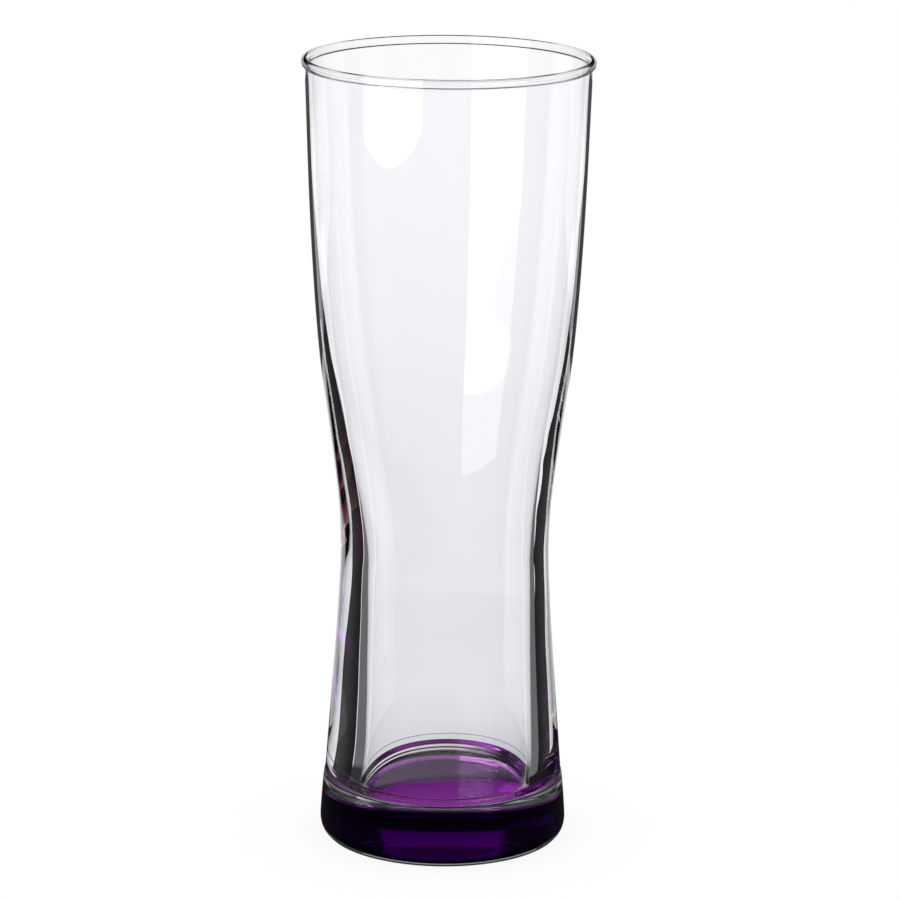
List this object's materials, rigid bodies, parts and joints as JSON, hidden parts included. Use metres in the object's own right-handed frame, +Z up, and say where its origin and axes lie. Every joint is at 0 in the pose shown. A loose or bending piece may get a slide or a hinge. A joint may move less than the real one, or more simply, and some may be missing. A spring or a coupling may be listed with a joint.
{
  "type": "pilsner glass",
  "caption": "Tall waisted beer glass with a beaded rim, a wall that thickens downwards, a heavy foot and a translucent purple coat on its underside.",
  "frame": {"origin": "centre of the base, on the surface the glass stands on", "axes": "+Z up along the glass's axis of revolution, from the foot to the rim"},
  "size_m": [0.0784, 0.0784, 0.215],
  "materials": {
    "clear_glass": "polished, fire-finished rim",
    "purple_coat": "translucent lacquer, gloss"
  },
  "bodies": {
    "root": {"glass_body": "clear_glass", "base_colour_coat": "purple_coat"}
  },
  "joints": []
}
